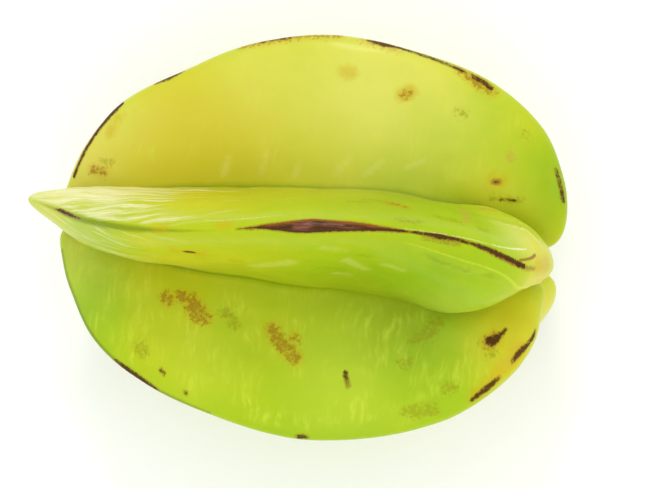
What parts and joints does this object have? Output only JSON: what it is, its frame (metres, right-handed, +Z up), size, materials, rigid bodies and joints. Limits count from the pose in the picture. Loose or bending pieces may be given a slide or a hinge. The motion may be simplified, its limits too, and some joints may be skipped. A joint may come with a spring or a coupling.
{
  "type": "star fruit",
  "caption": "Star fruit: an oblong ribbed fruit, star-shaped in section, with waxy yellow-green skin, lying on its lower ribs.",
  "frame": {"origin": "middle of the fruit's outline seen from above, at the height of the surface that it lies on", "axes": "+Z up; +X along the fruit, towards the stem end; +Y to the left of +X"},
  "size_m": [0.1072, 0.0792, 0.0751],
  "materials": {
    "skin": "waxy, slightly translucent yellow-green fruit skin with a soft gloss"
  },
  "bodies": {
    "root": {"star_fruit": "skin"}
  },
  "joints": []
}
